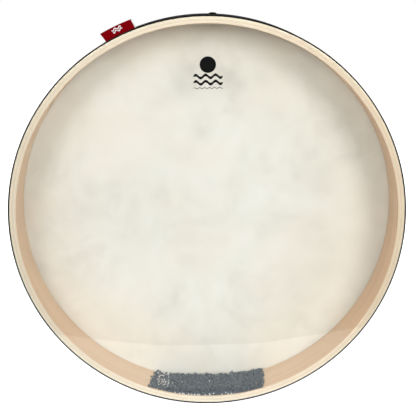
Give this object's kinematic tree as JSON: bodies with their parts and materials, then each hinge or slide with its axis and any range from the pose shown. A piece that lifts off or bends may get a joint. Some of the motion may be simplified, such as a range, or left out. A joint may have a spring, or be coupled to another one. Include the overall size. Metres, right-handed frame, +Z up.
{
  "type": "ocean drum",
  "caption": "Round wooden frame drum with a clear front head and a cream rear head; loose steel shot rolls round inside the shell to sound like surf.",
  "frame": {"origin": "on the surface the drum stands on, under the middle of its rim", "axes": "+Y along the drum's axis from the clear front head to the cream rear head, +Z up"},
  "size_m": [0.5076, 0.0636, 0.5096],
  "materials": {
    "outer_veneer": "satin lacquer, pale yellow veneer",
    "core_veneer": "sanded end grain of pale veneers",
    "inner_veneer": "satin lacquer, warm tan veneer",
    "clear_film": "glossy clear polyester film",
    "cream_film": "matte mottled parchment-like film",
    "black_trim": "fine-grained black covering",
    "red_ribbon": "woven ribbon, red face and white back",
    "black_rubber": "matte moulded rubber",
    "shot_steel": "polished steel balls, slightly dull"
  },
  "bodies": {
    "drum": {"shell_ply_1": "outer_veneer", "shell_ply_2": "core_veneer", "shell_ply_3": "core_veneer", "shell_ply_4": "core_veneer", "shell_ply_5": "inner_veneer", "front_head": "clear_film", "rear_head": "cream_film", "rim_band": "black_trim", "flag_label": "red_ribbon", "fill_plug": "black_rubber"},
    "shot_1": {"shot_lane_1": "shot_steel"},
    "shot_2": {"shot_lane_2": "shot_steel"},
    "shot_3": {"shot_lane_3": "shot_steel"},
    "shot_4": {"shot_lane_4": "shot_steel"},
    "shot_5": {"shot_lane_5": "shot_steel"},
    "shot_6": {"shot_lane_6": "shot_steel"}
  },
  "joints": [
    {"name": "shot_1_roll", "type": "hinge", "parent": "drum", "child": "shot_1", "pos_m": [0, 0, 0.25376], "axis": [0, 1, 0], "continuous": true},
    {"name": "shot_2_roll", "type": "hinge", "parent": "drum", "child": "shot_2", "pos_m": [0, 0, 0.25376], "axis": [0, 1, 0], "continuous": true},
    {"name": "shot_3_roll", "type": "hinge", "parent": "drum", "child": "shot_3", "pos_m": [0, 0, 0.25376], "axis": [0, 1, 0], "continuous": true},
    {"name": "shot_4_roll", "type": "hinge", "parent": "drum", "child": "shot_4", "pos_m": [0, 0, 0.25376], "axis": [0, 1, 0], "continuous": true},
    {"name": "shot_5_roll", "type": "hinge", "parent": "drum", "child": "shot_5", "pos_m": [0, 0, 0.25376], "axis": [0, 1, 0], "continuous": true},
    {"name": "shot_6_roll", "type": "hinge", "parent": "drum", "child": "shot_6", "pos_m": [0, 0, 0.25376], "axis": [0, 1, 0], "continuous": true}
  ]
}
